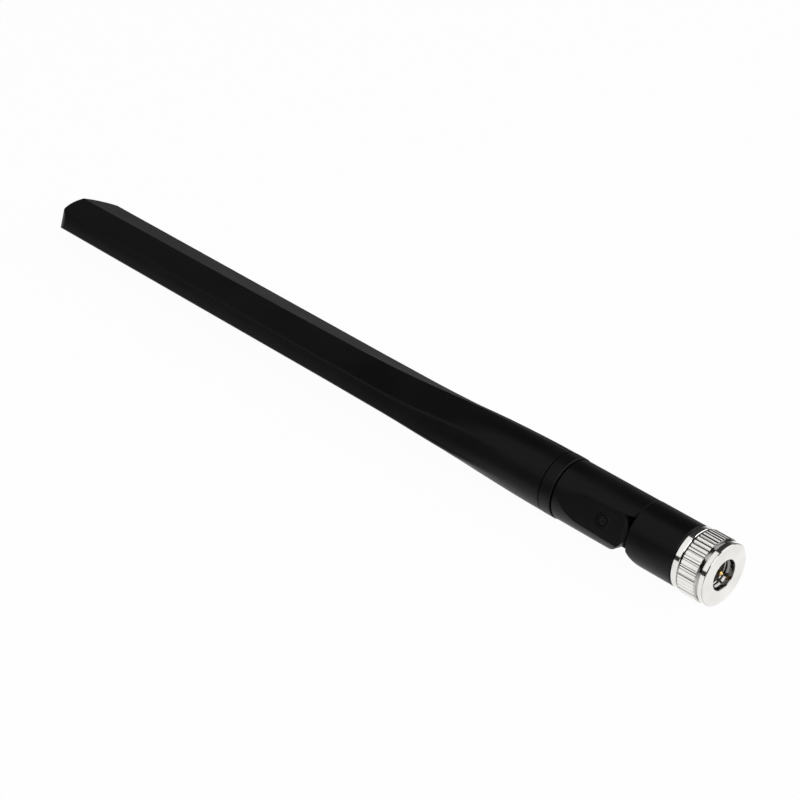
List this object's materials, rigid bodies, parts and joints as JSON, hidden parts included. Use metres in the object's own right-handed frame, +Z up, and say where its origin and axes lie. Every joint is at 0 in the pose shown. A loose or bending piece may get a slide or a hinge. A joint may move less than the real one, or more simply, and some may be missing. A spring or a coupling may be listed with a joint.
{
  "type": "blade antenna",
  "caption": "Flat paddle antenna with a flared round root, a tilting and swivelling base and a knurled coaxial coupling nut.",
  "frame": {"origin": "centre of the coupling nut's front face, on the connector's axis", "axes": "+X along the connector's axis, out of its mouth; +Z up as the antenna lies on a table"},
  "size_m": [0.1883, 0.0174, 0.0136],
  "materials": {
    "nickel": "nickel plated, satin",
    "gold": "gold plated",
    "insulator_white": "smooth",
    "gasket_rubber": "smooth",
    "spring_bronze": "plain",
    "spring_steel": "plain",
    "black_plastic": "fine satin grain",
    "pin_black": "satin",
    "board_green": "solder mask",
    "copper": "etched foil",
    "solder_tin": "bright",
    "jacket_grey": "extruded",
    "braid_tin": "tinned braid",
    "dielectric_white": "extruded",
    "foam_grey": "open-cell foam"
  },
  "bodies": {
    "connector": {"connector_body": "nickel", "centre_pin": "gold", "insulator": "insulator_white", "gasket": "gasket_rubber", "nut_retaining_ring": "spring_bronze", "swivel_snap_ring": "spring_steel", "crimp_ferrule": "nickel"},
    "nut": {"coupling_nut": "nickel"},
    "base": {"base_sleeve": "black_plastic"},
    "blade": {"hinge_knuckle": "black_plastic", "hinge_pin_near": "pin_black", "hinge_pin_far": "pin_black", "root_collar": "black_plastic", "blade_shell": "black_plastic", "antenna_board": "board_green", "ground_trace": "copper", "signal_trace": "copper", "ground_solder": "solder_tin", "feed_solder": "solder_tin", "cord_jacket": "jacket_grey", "cord_braid": "braid_tin", "cord_dielectric": "dielectric_white", "cord_conductor": "copper", "foam_pad_root": "foam_grey", "foam_pad_tip": "foam_grey"}
  },
  "joints": [
    {"name": "nut_spin", "type": "hinge", "parent": "connector", "child": "nut", "pos_m": [-0.0039, 0, 0], "axis": [1, 0, 0], "continuous": true},
    {"name": "base_swivel", "type": "hinge", "parent": "connector", "child": "base", "pos_m": [-0.0108, 0, 0], "axis": [1, 0, 0], "range_deg": [-175, 175]},
    {"name": "blade_tilt", "type": "hinge", "parent": "base", "child": "blade", "pos_m": [-0.02591, 0, 0], "axis": [0, -0.9848, 0.1736], "range_deg": [0, 90], "deforming": ["cord_jacket", "cord_braid", "cord_dielectric", "cord_conductor"]}
  ]
}
